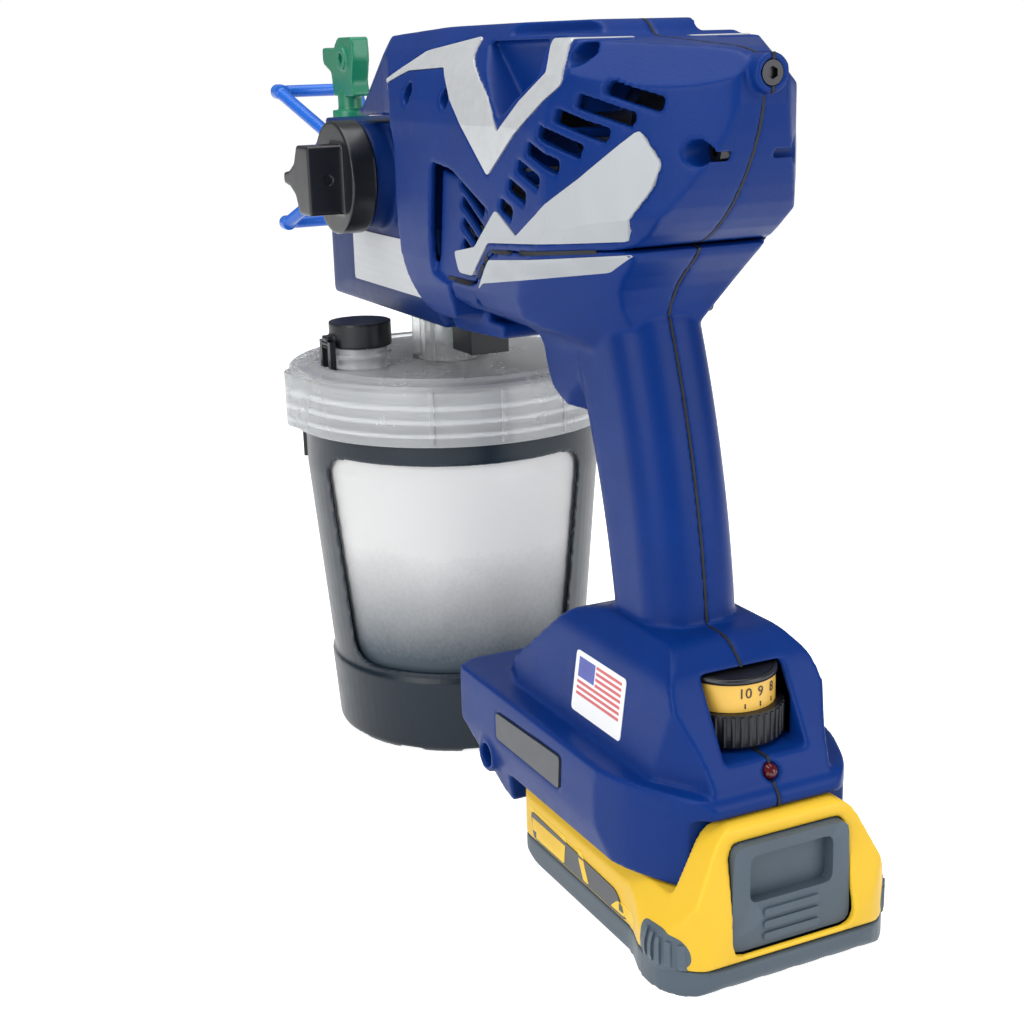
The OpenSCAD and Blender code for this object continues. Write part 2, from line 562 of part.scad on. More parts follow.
// ---------- tip and guard ----------
hub_x = cover_x + 4;
bar_x = 330;
module guard_wing() {
    b = [bar_x, 19, spray_z + 30];
    c = [bar_x, -19, spray_z + 30];
    rod([tip_x + 4, 9, spray_z + 11], b, 2.8);
    rod([tip_x + 4, -9, spray_z + 11], c, 2.8);
    rod(b, c, 2.8);
    for (y = [-19, 19]) xrod(bar_x - 3, bar_x + 3.2, 3.4, y, b.z);
}
module tip_guard() color([0.08, 0.3, 0.78]) difference() {
    union() {
        xrod(hub_x, tip_x + 13, 15, 0, spray_z);
        for (a = [0 : 30 : 330]) translate([hub_x + 0.6, 14.4 * cos(a + 15), spray_z + 14.4 * sin(a + 15)])
            rotate([0, 90, 0]) cylinder(r = 1.6, h = 8.4);
        guard_wing();
        translate([0, 0, 2 * spray_z]) mirror([0, 0, 1]) guard_wing();
    }
    xrod(hub_x - 1, cover_x + 14.6, 7.6 + fit, 0, spray_z);
    xrod(cover_x + 14, cover_x + 18.2, 7, 0, spray_z);
    zrod(spray_z - 40, spray_z + 40, 6.4 + fit, tip_x);
    xrod(tip_x, tip_x + 30, 5, 0, spray_z);
}
module tip_seal() color([0.1, 0.1, 0.1]) difference() {
    xrod(cover_x + 14.2, tip_x - 7, 6.9, 0, spray_z);
    xrod(cover_x + 10, tip_x, 2, 0, spray_z);
}
tip_flag = [[-15, 28], [-13, 34], [-16, 44], [-15, 53], [2, 53], [8, 48], [22, 49], [22, 42], [12, 38], [10, 28]];
module spray_tip() color([0.08, 0.42, 0.26]) difference() {
    union() {
        zrod(spray_z - 13, spray_z + 16, 6.4, tip_x);
        zrod(spray_z + 15.4, spray_z + 22, 8, tip_x);
        zrod(spray_z + 20, spray_z + 30, 5.4, tip_x);
        side(soft(shift(tip_flag, [tip_x, spray_z]), 1.2, 2), -4, 4);
        yrod(-5.5, 5.5, 5, tip_x - 4, spray_z + 44);
    }
    xrod(tip_x - 8, tip_x + 8, 0.8, 0, spray_z);
    xrod(tip_x + 2, tip_x + 8, 2.4, 0, spray_z);
    yrod(-8, 8, 2.4, tip_x - 4, spray_z + 44);
}

// ---------- trigger ----------
pivot_x = claw_x - 58;
pivot_z = arm_z + 9;
trig_side = [[-6, 5.5], [5, 5.5], [7.5, -2], [6.5, -9], [4, -18], [-0.5, -30], [-4.5, -33], [-9, -32.5], [-8, -16],
    [-7, -6]];
module trigger() color([0.05, 0.05, 0.06]) difference() {
    union() {
        side(soft(shift(trig_side, [pivot_x, pivot_z]), 2, 3), -6.6, 6.6);
        box([pivot_x - 23, -3, pivot_z - 1], [pivot_x, 3, pivot_z + 3]);
    }
    yrod(-10, 10, 2 + fit, pivot_x, pivot_z);
}
module trigger_pin() color([0.7, 0.7, 0.7]) yrod(-13, 13, 2, pivot_x, pivot_z);
module trigger_switch() color([0.1, 0.1, 0.11]) {
    box([pivot_x - 42, -7, pivot_z + 8.6], [pivot_x - 19.5, 7, pivot_z + 14.6]);
    box([pivot_x - 22, -2, pivot_z + 7.4], [pivot_x - 20, 2, pivot_z + 8.7]);
}

// ---------- controls in the base ----------
dial_x = -19;
module speed_dial() color([0.05, 0.05, 0.06]) difference() {
    union() {
        zrod(67, 77.6, dial_d / 2 - 0.8, dial_x);
        for (a = [0 : 9 : 351]) translate([dial_x + (dial_d / 2 - 0.9) * cos(a), (dial_d / 2 - 0.9) * sin(a), 67.6])
            cylinder(r = 0.75, h = 9.4, $fn = 10);
        zrod(77, 88.4, dial_d / 2 - 4.2, dial_x);
    }
    zrod(66, 92, 3 + fit, dial_x);
}
module dial_band() color([0.86, 0.62, 0.16]) difference() {
    zrod(77.7, 88, dial_d / 2 - 3.2, dial_x);
    zrod(77, 92, dial_d / 2 - 4.2, dial_x);
}
module dial_post() color([0.6, 0.6, 0.62]) {
    zrod(board_z + 1.6, 88.5, 3, dial_x);
    zrod(board_z + 1.6, 66, 8, dial_x);
}
module control_board() color([0.05, 0.3, 0.15]) {
    box([-30, -22, board_z], [60, 22, board_z + 1.6]);
    box([4, -14, board_z + 1.5], [22, 2, board_z + 9]);
    box([30, 4, board_z + 1.5], [44, 16, board_z + 7]);
    zrod(board_z + 1.5, board_z + 14, 5, 52, -8);
}
module terminal_block() color([0.08, 0.08, 0.09]) {
    box([contact_x + 8, -19, slot_z + 13.6], [contact_x + 26, 19, slot_z + 22]);
}
module terminal_blades() color([0.8, 0.72, 0.45])
    for (y = [-12, -4, 4, 12]) box([contact_x + 12, y - 0.5, slot_z + 7.5], [contact_x + 22, y + 0.5, slot_z + 13.6]);
module led_lens() color([0.4, 0.02, 0.05]) {
    translate([tail_x + 10, 0, lamp_z]) rotate([0, -90, 0]) rotate_extrude()
        polygon([[0, 0], [2.5, 0], [2.5, 5.6], [2.1, 6.8], [1.3, 7.6], [0.5, 8], [0, 8]]);
}
plate = [[base_front - 84, base_z - 17], [base_front - 37, base_z - 17], [base_front - 37, base_z - 7.5],
    [base_front - 85, base_z - 5.5]];
module plate_form(d) side(soft(inset(plate, -d), 1.5, 2), base_w - 1.4 - d, base_w + 0.3 + d);
module rating_plate() color([0.13, 0.13, 0.14]) plate_form(0);

// ---------- battery ----------
bulge = 4;               // how far the pack's rear corners stand out at each side
pack_plan = sides([[pack_len / 2, pack_w / 2 - 9], [pack_len / 2 - 5, pack_w / 2], [-24, pack_w / 2],
    [-34, pack_w / 2 + bulge], [-pack_len / 2 + 11, pack_w / 2 + bulge], [-pack_len / 2, pack_w / 2 - 6]]);
pack_side = [[pack_len / 2, tray_h], [pack_len / 2, deck_z - 3], [pack_len / 2 - 3, deck_z], [rear_in, deck_z],
    [rear_in, rear_block_z - 2], [rear_in - 3, rear_block_z], [-pack_len / 2 + 6, rear_block_z], [-pack_len / 2, tray_h + 8],
    [-pack_len / 2, tray_h]];
pack_front = both([[pack_w / 2 + bulge, tray_h - 1], [pack_w / 2 + bulge, tray_h + 8], [pack_w / 2 - 3, deck_z],
    [pack_w / 2 - 14, rear_block_z - 1], [10, rear_block_z + 2]]);
module pack_form(d) intersection() {
    side(soft(inset(pack_side, d), 3), -50, 50);
    front(soft(inset(pack_front, d), 6), -70, 70);
    plan(soft(inset(pack_plan, d), 6), 5, 70);
}
module rails() {
    box([rear_in + 2, -20.4, deck_z - 1], [contact_x + 20, 20.4, slot_z + 4.6]);
    box([rear_in + 2, -24.4, slot_z + 4.6], [contact_x + 20, 24.4, slot_z + 10.4]);
}
latch_in = [[-22, tray_h + 2.6], [22, tray_h + 2.6], [21, rear_block_z - 5], [-21, rear_block_z - 5]];
module battery_tray() color([0.17, 0.19, 0.21]) difference() {
    union() {
        intersection() {
            plan(soft(pack_plan, 6), 0, tray_h - 0.05);
            side(soft([[-pack_len / 2, 3], [-pack_len / 2 + 3, 0], [pack_len / 2 - 14, 0], [pack_len / 2 - 4, 3.4],
                [pack_len / 2, tray_h], [-pack_len / 2, tray_h]], 1.5, 2), -50, 50);
        }
    }
    intersection() {
        plan(soft(inset(pack_plan, 2.4), 5), 2.4, tray_h + 2);
        box([-60, -50, 2.4], [pack_len / 2 - 5, 50, 30]);
    }
    for (y = [-24 : 12 : 24]) box([-pack_len / 2 - 1, y - 2, -1], [-pack_len / 2 + 4, y + 2, 1.4]);
}
module battery_cover() color([0.95, 0.68, 0.08]) difference() {
    union() {
        difference() {
            union() { pack_form(0); rails(); }
            pack_form(2.4);
            plan(soft(inset(pack_plan, 2.4), 5), tray_h - 1, tray_h + 3);
            box([rear_in + 6, -17, deck_z - 6], [contact_x + 16, 17, slot_z + 7.6]);
        }
    }
    // pocket for the latch
    front(soft(latch_in, 4), -pack_len / 2 - 5, -pack_len / 2 + 12.5);
    for (y = [-12, -4, 4, 12]) box([contact_x + 6, y - 1.2, slot_z + 5.4], [contact_x + 22, y + 1.2, slot_z + 11]);
}
module battery_cells() color([0.35, 0.5, 0.42]) for (i = [0 : 4])
    yrod(-32, 32, 9, -34.6 + 18.6 * i, 12);
module battery_contacts() color([0.8, 0.72, 0.45]) for (y = [-12, -4, 4, 12])
    on_contact(y);
module on_contact(y) {
    box([contact_x, y - 2.4, deck_z - 4], [contact_x + 16, y - 1.3, slot_z + 7.5]);
    box([contact_x, y + 1.3, deck_z - 4], [contact_x + 16, y + 2.4, slot_z + 7.5]);
}
module battery_labels() color([0.1, 0.1, 0.1]) on_both()
    side(soft([[pack_len / 2 - 12, tray_h + 11], [-14, tray_h + 9], [-21, tray_h + 1.4], [pack_len / 2 - 14, tray_h + 1.4]], 2, 2),
        pack_w / 2, pack_w / 2 + 0.4);
module battery_latch() color([0.16, 0.18, 0.2]) difference() {
    union() {
        front(soft(inset(latch_in, gap + 0.05), 4), -pack_len / 2 + 2.5, -pack_len / 2 + 9);
        for (i = [0 : 2]) translate([-pack_len / 2 + 2.6, -9, tray_h + 14 - 4 * i]) rotate([0, 90, 0]) {
            translate([0, 0, -0.8]) cylinder(r = 1.2, h = 2);
            translate([0, 18, -0.8]) cylinder(r = 1.2, h = 2);
            translate([-1.2, 0, -0.8]) cube([2.4, 18, 2]);
        }
    }
    front(soft([[-15, tray_h + 18], [15, tray_h + 18], [15, rear_block_z - 9], [-15, rear_block_z - 9]], 3),
        -pack_len / 2 - 1, -pack_len / 2 + 6.5);
}

// ---------- cup ----------
sup_r1 = lid_d / 2 - 5.5;
sup_top = lid_z - 16;
module cup_support() color([0.07, 0.08, 0.09]) difference() {
    translate([cup_x, 0, 0]) rotate_extrude($fn = 96) polygon([[cup_d / 2 - 12, 0], [cup_d / 2 - 2, 0],
        [cup_d / 2, 2], [cup_d / 2 + 2, 31], [cup_d / 2 + 0.8, 32], [sup_r1, sup_top - 24], [sup_r1, sup_top],
        [sup_r1 - 2, sup_top], [sup_r1 - 2.2, sup_top - 24], [cup_d / 2 - 1.6, 33], [cup_d / 2 - 2, 2.4],
        [cup_d / 2 - 12, 2.4]]);
    translate([cup_x, 0, 0]) rotate(156.5) rotate([90, 0, 90]) translate([0, 0, -80]) linear_extrude(160)
        polygon(soft([[-42, 34.5], [42, 34.5], [50, sup_top - 16], [-50, sup_top - 16]], 9, 5));
    for (a = [0 : 30 : 330]) translate([cup_x, 0, 0]) rotate(a + 11.5) box([cup_d / 2 - 14, -5, -1], [cup_d / 2 + 4, 5, 1.4]);
}
module cup_clips() color([0.06, 0.06, 0.07]) for (a = [66.5, 246.5]) translate([cup_x, 0, 0]) rotate(a)
    box([sup_r1 + 0.01, -3, sup_top - 23], [sup_r1 + 1.4, 3, sup_top - 7]);
module cup_liner() color([0.85, 0.87, 0.88, 0.35]) translate([cup_x, 0, 0]) rotate_extrude($fn = 96) polygon([
    [0, 2.7], [cup_d / 2 - 4, 2.7], [cup_d / 2 - 2.7, 4.5], [cup_d / 2 - 2, 33], [sup_r1 - 2.6, sup_top - 23], [sup_r1 - 2.6, lid_z - 5.2],
    [sup_r1 - 3.8, lid_z - 5.2], [sup_r1 - 3.8, sup_top - 23], [cup_d / 2 - 3.2, 33], [cup_d / 2 - 3.9, 5.6], [cup_d / 2 - 4.9, 3.9], [0, 3.9]]);
neck_x = cup_x + 2;
neck_y = 37.5;
module cup_lid() color([0.88, 0.89, 0.9, 0.5]) difference() {
    union() {
        translate([cup_x, 0, 0]) rotate_extrude($fn = 96) polygon([[10, lid_z - 3], [lid_d / 2 - 3.6, lid_z - 3],
            [sup_r1 + 2.6, lid_z - 4], [sup_r1 + 2.6, lid_z - 23], [lid_d / 2, lid_z - 23], [lid_d / 2, lid_z - 1],
            [lid_d / 2 - 1.5, lid_z], [lid_d / 2 - 8, lid_z], [lid_d / 2 - 8.6, lid_z + 1.6], [lid_d / 2 - 11, lid_z + 1.6],
            [lid_d / 2 - 11.6, lid_z], [10, lid_z]]);
        zrod(lid_z - 3, lid_z + 8, 11.5, neck_x, neck_y);
        zrod(lid_z + 4, lid_z + 6, 12.8, neck_x, neck_y);
        difference() {
            zrod(lid_z - 21, lid_z - 0.2, 15, neck_x, neck_y + 17);
            zrod(lid_z - 24, lid_z - 2.9, lid_d / 2 - 1, cup_x, 0);
        }
        for (a = [150 : 24 : 246]) translate([cup_x, 0, 0]) rotate(a)
            box([lid_d / 2 - 0.5, -0.9, lid_z - 22], [lid_d / 2 + 1, 0.9, lid_z - 2]);
    }
    zrod(lid_z - 5, lid_z + 9, 7.5, neck_x, neck_y);
    zrod(lid_z - 5, lid_z + 9, 9.1, cup_x);
}
module lid_gasket() color([0.8, 0.8, 0.8]) difference() {
    zrod(lid_z - 4.8, lid_z - 3.05, sup_r1 + 1, cup_x);
    zrod(lid_z - 6, lid_z - 2, sup_r1 - 6, cup_x);
}
module valve_cap() color([0.05, 0.05, 0.06]) difference() {
    union() {
        zrod(lid_z + 8.2, lid_z + 18, 12.4, neck_x, neck_y);
        zrod(lid_z + 5, lid_z + 8.3, 6.2, neck_x, neck_y);
        box([neck_x - 3, neck_y + 10, lid_z + 8.2], [neck_x + 3, neck_y + 15.4, lid_z + 13]);
    }
    zrod(lid_z + 4, lid_z + 12, 4.5, neck_x, neck_y);
    xrod(neck_x - 9, neck_x + 9, 1.2 + fit, neck_y + 14, lid_z + 10);
}
module cap_hinge() color([0.05, 0.05, 0.06]) {
    xrod(neck_x - 6, neck_x + 6, 1.2, neck_y + 14, lid_z + 10);
    for (x = [-6, 3.4]) box([neck_x + x, neck_y + 12.9, lid_z], [neck_x + x + 2.6, neck_y + 15.2, lid_z + 11.2]);
}

housing_left();
housing_right();
trim_left();
trim_right();
panel_left();
panel_right();
handle_left();
handle_right();
pump_cover();
cover_labels();
pump_block();
outlet_valve();
inlet_nut();
inlet_block();
siphon_tube();
suction_filter();
piston_a();
piston_b();
piston_c();
drive_gear();
wobble_plate();
motor();
motor_pinion();
gear_case();
rear_screw();
case_screws();
knob_body();
valve_stem();
knob_screw();
tip_guard();
tip_seal();
spray_tip();
trigger();
trigger_pin();
trigger_switch();
speed_dial();
dial_band();
dial_post();
control_board();
terminal_block();
terminal_blades();
led_lens();
rating_plate();
battery_tray();
battery_cover();
battery_cells();
battery_contacts();
battery_labels();
battery_latch();
cup_support();
cup_clips();
cup_liner();
cup_lid();
lid_gasket();
valve_cap();
cap_hinge();
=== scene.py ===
import math
import bpy
import bmesh
from mathutils import Matrix, Vector
from mathutils.bvhtree import BVHTree


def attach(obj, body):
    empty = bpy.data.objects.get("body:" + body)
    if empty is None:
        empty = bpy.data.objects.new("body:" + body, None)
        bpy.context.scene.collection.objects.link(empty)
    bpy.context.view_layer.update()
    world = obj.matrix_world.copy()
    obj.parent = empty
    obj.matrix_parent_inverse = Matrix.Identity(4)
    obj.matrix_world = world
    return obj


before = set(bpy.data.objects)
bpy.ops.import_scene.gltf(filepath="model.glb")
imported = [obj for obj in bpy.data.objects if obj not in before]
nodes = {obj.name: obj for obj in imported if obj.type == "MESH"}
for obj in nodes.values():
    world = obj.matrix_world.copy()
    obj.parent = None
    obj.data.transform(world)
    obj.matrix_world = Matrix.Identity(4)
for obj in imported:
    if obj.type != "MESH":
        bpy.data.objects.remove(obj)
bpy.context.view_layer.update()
print("frame loaded:", len(nodes), "nodes")


def addToScene(name, data):
    made = bpy.data.objects.new(name, data)
    bpy.context.scene.collection.objects.link(made)
    return made


# the camera, fitted to the lid, the battery's corners and the upright seams
camera = dict(place=(-0.418, 0.263, 0.273), yaw=25.52, pitch=15.83, roll=-1.64, focalPixels=1631.8,
              framePixels=1024, sensor=36, near=0.01)


def placeCamera(c):
    yaw, pitch, roll = (math.radians(c[k]) for k in ("yaw", "pitch", "roll"))
    ahead = Vector((math.cos(yaw) * math.cos(pitch), -math.sin(yaw) * math.cos(pitch), -math.sin(pitch)))
    side = Vector((-math.sin(yaw), -math.cos(yaw), 0))
    up = side.cross(ahead)
    right = math.cos(roll) * side + math.sin(roll) * up
    top = -math.sin(roll) * side + math.cos(roll) * up
    data = bpy.data.cameras.new("camera")
    data.sensor_width = c["sensor"]
    data.lens = c["focalPixels"] * c["sensor"] / c["framePixels"]
    data.clip_start = c["near"]
    obj = addToScene("camera", data)
    turn = Matrix((right, top, -ahead)).transposed().to_4x4()
    obj.matrix_world = Matrix.Translation(c["place"]) @ turn
    bpy.context.scene.camera = obj


placeCamera(camera)
print("camera placed")


# shader maths: a wire is one output socket, and sums on wires add Math nodes
class Wire:
    def __init__(self, finish, socket):
        self.finish = finish
        self.socket = socket

    def sum(self, operation, *values):
        return self.finish.node("ShaderNodeMath", {"operation": operation}, dict(enumerate(values)))

    def __add__(self, other):
        return self.sum("ADD", self, other)

    def __radd__(self, other):
        return self.sum("ADD", other, self)

    def __mul__(self, other):
        return self.sum("MULTIPLY", self, other)

    def __rmul__(self, other):
        return self.sum("MULTIPLY", other, self)

    def __gt__(self, other):
        return self.sum("GREATER_THAN", self, other)

    def __lt__(self, other):
        return self.sum("LESS_THAN", self, other)


class NodeTree:
    def __init__(self, tree):
        self.tree = tree
        self.tree.nodes.clear()

    def put(self, node, values):
        for key, value in values.items():
            socket = node.inputs[key]
            if isinstance(value, Wire):
                self.tree.links.new(value.socket, socket)
            elif isinstance(value, tuple) and len(value) == 3 and socket.type == "RGBA":
                socket.default_value = (*value, 1)
            else:
                socket.default_value = value

    def node(self, kind, settings=None, values=None, out=0):
        made = self.tree.nodes.new(kind)
        for key, value in (settings or {}).items():
            setattr(made, key, value)
        self.put(made, values or {})
        return Wire(self, made.outputs[out])

    def close(self, kind, socket):
        self.tree.links.new(socket, self.tree.nodes.new(kind).inputs[0])


class Finish(NodeTree):
    def __init__(self, name, **shader):
        self.material = bpy.data.materials.new(name)
        self.material.use_nodes = True
        super().__init__(self.material.node_tree)
        self.shader = self.tree.nodes.new("ShaderNodeBsdfPrincipled")
        self.close("ShaderNodeOutputMaterial", self.shader.outputs[0])
        self.put(self.shader, shader)

    def place(self):
        return self.node("ShaderNodeTexCoord", out="Object")

    def axis(self, which):
        return self.node("ShaderNodeSeparateXYZ", values={"Vector": self.place()}, out=which)

    def noise(self, scale, detail=2.0, rough=0.5, stretch=(1, 1, 1)):
        where = self.node("ShaderNodeVectorMath", {"operation": "MULTIPLY"}, {0: self.place(), 1: stretch})
        values = {"Vector": where, "Scale": scale, "Detail": detail, "Roughness": rough}
        return self.node("ShaderNodeTexNoise", values=values)

    def ramp(self, wire, low, high):
        values = {"Value": wire, "From Min": low, "From Max": high, "To Min": 0.0, "To Max": 1.0}
        return self.node("ShaderNodeMapRange", {"clamp": True}, values)

    def blend(self, mask, a, b):
        return self.node("ShaderNodeMix", {"data_type": "RGBA"}, {0: mask, 6: a, 7: b}, out=2)

    def bump(self, height, distance, strength):
        values = {"Height": height, "Distance": distance, "Strength": strength}
        return self.node("ShaderNodeBump", values=values)

    def set(self, **values):
        names = dict(colour="Base Color", rough="Roughness", metal="Metallic", glow="Emission Color",
                     normal="Normal")
        self.put(self.shader, {names[k]: v for k, v in values.items()})


def tint(colour, by):
    return tuple(min(1.0, c * by) for c in colour)


# moulded plastics: a fine spark-eroded grain, faint clouding and edges made paler by a painted highlight
plastics = dict(
    bodyBlue=dict(colour=(0.0014, 0.026, 0.17), rough=0.38,
                  grain=0.00006, size=1500, cloud=0.14, mirror=0.14),
    coverBlue=dict(colour=(0.0014, 0.02, 0.12), rough=0.42,
                   grain=0.00006, size=1500, cloud=0.12, mirror=0.14),
    satinBlack=dict(colour=(0.006, 0.007, 0.01), rough=0.36,
                    grain=0.00004, size=1600, cloud=0.15, mirror=0.4),
    knobBlack=dict(colour=(0.008, 0.009, 0.012), rough=0.3, grain=0.00003, size=1600, cloud=0.15),
    supportBlack=dict(colour=(0.005, 0.013, 0.023), rough=0.34,
                      grain=0.00004, size=1500, cloud=0.15, mirror=0.35),
    batteryYellow=dict(colour=(0.8, 0.5, 0.03), rough=0.42,
                       grain=0.00006, size=1300, cloud=0.05, mirror=0.3),
    batteryGrey=dict(colour=(0.062, 0.088, 0.115), rough=0.45,
                     grain=0.00008, size=1300, cloud=0.12, mirror=0.4),
    guardBlue=dict(colour=(0.012, 0.13, 0.6), rough=0.25, grain=0.00002, size=1800, cloud=0.06),
    tipGreen=dict(colour=(0.01, 0.2, 0.105), rough=0.3, grain=0.00003, size=1800, cloud=0.08),
    panelGrey=dict(colour=(0.36, 0.38, 0.4), rough=0.42, grain=0.00003, size=1800, cloud=0.05),
    boardGreen=dict(colour=(0.012, 0.14, 0.05), rough=0.35, grain=0.00003, size=900, cloud=0.2),
    cellWrap=dict(colour=(0.08, 0.22, 0.14), rough=0.3, grain=0.00002, size=900, cloud=0.1),
    lampRed=dict(colour=(0.07, 0.002, 0.005), rough=0.12, grain=0.00001, size=1500, cloud=0.1),
    bandGold=dict(colour=(0.72, 0.42, 0.07), rough=0.35, grain=0.00002, size=1500, cloud=0.1),
    stickerWhite=dict(colour=(0.86, 0.87, 0.88), rough=0.35, grain=0.00001, size=1500, cloud=0.02),
    stickerRed=dict(colour=(0.52, 0.09, 0.1), rough=0.35, grain=0.00001, size=1500, cloud=0.06),
    stickerBlue=dict(colour=(0.05, 0.07, 0.34), rough=0.35, grain=0.00001, size=1500, cloud=0.06),
    threadWhite=dict(colour=(0.9, 0.92, 0.93), rough=0.35, grain=0.00001, size=1500, cloud=0.03),
    inkBlack=dict(colour=(0.012, 0.011, 0.01), rough=0.4, grain=0.00001, size=1500, cloud=0.1),
    plateDark=dict(colour=(0.03, 0.035, 0.042), rough=0.4, grain=0.00003, size=1700, cloud=0.1),
)
# what all of them share: size of the clouding, the painted highlight that makes edges pale, spread of the
# sheen, depth of grain
moulding = dict(clouds=45, edgeFrom=0.52, edgeTo=0.6, edgeHighlightShare=0.35, sheen=160, spread=0.1, grainDepth=0.8)


def plastic(name, colour, rough, grain, size, cloud, mirror=0.5):
    m = moulding
    f = Finish(name, **{"IOR": 1.48, "Specular IOR Level": mirror})
    clouds = f.noise(m["clouds"], 3.0)
    # painted highlight: where pointiness finds an edge, the colour is blended towards a paler copy of itself
    edge = f.ramp(f.node("ShaderNodeNewGeometry", out="Pointiness"), m["edgeFrom"], m["edgeTo"])
    body = f.blend(clouds, tint(colour, 1 - cloud), tint(colour, 1 + cloud))
    paintedEdgeHighlight = tuple(min(1.0, c * 1.5 + 0.01) for c in colour)
    f.set(colour=f.blend(edge * m["edgeHighlightShare"], body, paintedEdgeHighlight))
    f.set(rough=rough - m["spread"] / 2 + m["spread"] * f.noise(m["sheen"], 2.0))
    f.set(normal=f.bump(f.noise(size, 1.0), grain, m["grainDepth"]))
    return f.material


finishes = {name: plastic(name, **p) for name, p in plastics.items()}

# metals: brushed along one axis, with a faint uneven sheen
metals = dict(
    steel=dict(colour=(0.55, 0.55, 0.57), rough=0.3, stretch=(30, 400, 400), edge=0.6),
    darkSteel=dict(colour=(0.05, 0.05, 0.055), rough=0.38, stretch=(200, 200, 200), edge=0.4),
    pumpMetal=dict(colour=(0.6, 0.61, 0.63), rough=0.36, stretch=(60, 60, 60), edge=0.5),
    bronze=dict(colour=(0.5, 0.36, 0.16), rough=0.4, stretch=(90, 90, 90), edge=0.5),
    contactBrass=dict(colour=(0.75, 0.58, 0.26), rough=0.25, stretch=(40, 300, 40), edge=0.3),
    silverTrim=dict(colour=(0.62, 0.64, 0.66), rough=0.34, stretch=(260, 260, 260), edge=0.2, share=0.35),
    labelSilver=dict(colour=(0.58, 0.6, 0.62), rough=0.36, stretch=(30, 500, 500), edge=0.2, share=0.35),
)


def metal(name, colour, rough, stretch, edge, share=1.0):
    f = Finish(name)
    lines = f.noise(1.0, 4.0, 0.6, stretch)
    f.set(colour=f.blend(lines, tint(colour, 0.85), tint(colour, 1.1)))
    f.set(rough=rough - 0.08 + 0.16 * lines, metal=share, normal=f.bump(lines, 0.00002, edge))
    return f.material


finishes.update({name: metal(name, **m) for name, m in metals.items()})


# frosted plastics: cloudy body that lets light through
def frosted(name, colour, through, rough, clouds, foot=None):
    f = Finish(name, **{"IOR": 1.45, "Transmission Weight": through})
    haze = f.noise(clouds, 3.0)
    body = f.blend(haze, tint(colour, 0.94), colour)
    if foot:  # a darker foot that fades out upwards, with a speckled edge
        speckle = 0.008 * f.noise(700, 3.0) + 0.006 * f.noise(60, 2.0)
        body = f.blend(f.ramp(f.axis(2) + speckle, foot["low"], foot["high"]), foot["colour"], body)
    f.set(colour=body, rough=rough - 0.06 + 0.12 * haze)
    f.set(normal=f.bump(f.noise(900, 1.0), 0.00003, 0.6))
    return f.material


frosts = dict(
    linerFrost=dict(colour=(0.97, 0.97, 0.965), through=0.3, rough=0.5, clouds=60,
                    foot=dict(low=0.046, high=0.092, colour=(0.07, 0.1, 0.13))),
    lidFrost=dict(colour=(0.9, 0.92, 0.93), through=0.72, rough=0.26, clouds=60),
    clearPart=dict(colour=(0.88, 0.9, 0.9), through=0.85, rough=0.2, clouds=80),
)
finishes.update({name: frosted(name, **p) for name, p in frosts.items()})

# rubbers and the black of the seams
rubbers = dict(sealBlack=(0.02, 0.02, 0.02), seamBlack=(0.006, 0.007, 0.01), gasketGrey=(0.5, 0.5, 0.5))


def rubber(name, colour):
    f = Finish(name)
    f.set(colour=f.blend(f.noise(300, 3.0), tint(colour, 0.8), tint(colour, 1.2)))
    f.set(rough=0.65 + 0.2 * f.noise(500), normal=f.bump(f.noise(1200, 2.0), 0.00006, 0.8))
    return f.material


finishes.update({name: rubber(name, colour) for name, colour in rubbers.items()})
print("finishes made:", len(finishes))

# which finish each CAD node gets
wears = dict(
    bodyBlue="housing_left housing_right handle_left handle_right",
    coverBlue="pump_cover",
    silverTrim="trim_left trim_right",
    panelGrey="panel_left panel_right",
    labelSilver="cover_labels",
    satinBlack="inlet_block trigger trigger_switch speed_dial terminal_block valve_cap cap_hinge gear_case "
               "cup_clips",
    knobBlack="knob_body",
    supportBlack="cup_support",
    steel="outlet_valve piston_a piston_b piston_c wobble_plate motor motor_pinion valve_stem trigger_pin "
          "dial_post",
    darkSteel="rear_screw case_screws knob_screw",
    pumpMetal="pump_block",
    bronze="drive_gear",
    contactBrass="terminal_blades battery_contacts",
    linerFrost="cup_liner",
    lidFrost="cup_lid",
    clearPart="inlet_nut siphon_tube suction_filter",
    guardBlue="tip_guard",
    tipGreen="spray_tip",
    sealBlack="tip_seal",
    gasketGrey="lid_gasket",
    bandGold="dial_band",
    lampRed="led_lens",
    batteryYellow="battery_cover",
    batteryGrey="battery_tray battery_latch",
    boardGreen="control_board",
    cellWrap="battery_cells",
    plateDark="rating_plate battery_labels",
)
for name, group in wears.items():
    for node in group.split():
        nodes[node].data.materials.clear()
        nodes[node].data.materials.append(finishes[name])

# softened edges: moulded shells are remeshed and smoothed, harder pieces get a small round
softening = dict(  # voxel in metres, rounds of smoothing
    housing_left=(0.0007, 5), housing_right=(0.0007, 5), handle_left=(0.0008, 7), handle_right=(0.0008, 7),
    pump_cover=(0.0008, 5), battery_cover=(0.0007, 5), battery_tray=(0.0007, 4), knob_body=(0.0005, 5),
    cup_support=(0.0008, 3), trigger=(0.0006, 6), valve_cap=(0.0005, 3), spray_tip=(0.0005, 5),
    tip_guard=(0.0005, 5),
)
crisp = dict(nodes="outlet_valve inlet_block cup_lid speed_dial battery_latch cover_labels",
             width=0.0003, angle=40, segments=2, merge=0.000002)
raised = dict(merge=0.000005, nodes=dict(panel_left=0.00035, panel_right=0.00035, trim_left=0.00035,
                                         trim_right=0.00035, trigger=-0.00045))


def soften(node, voxel, rounds):
    remesh = nodes[node].modifiers.new("moulded", "REMESH")
    remesh.mode = "VOXEL"
    remesh.voxel_size = voxel
    remesh.use_smooth_shade = True
    smooth = nodes[node].modifiers.new("rounded", "SMOOTH")
    smooth.factor = 0.5
    smooth.iterations = rounds


for node, (voxel, rounds) in softening.items():
    soften(node, voxel, rounds)


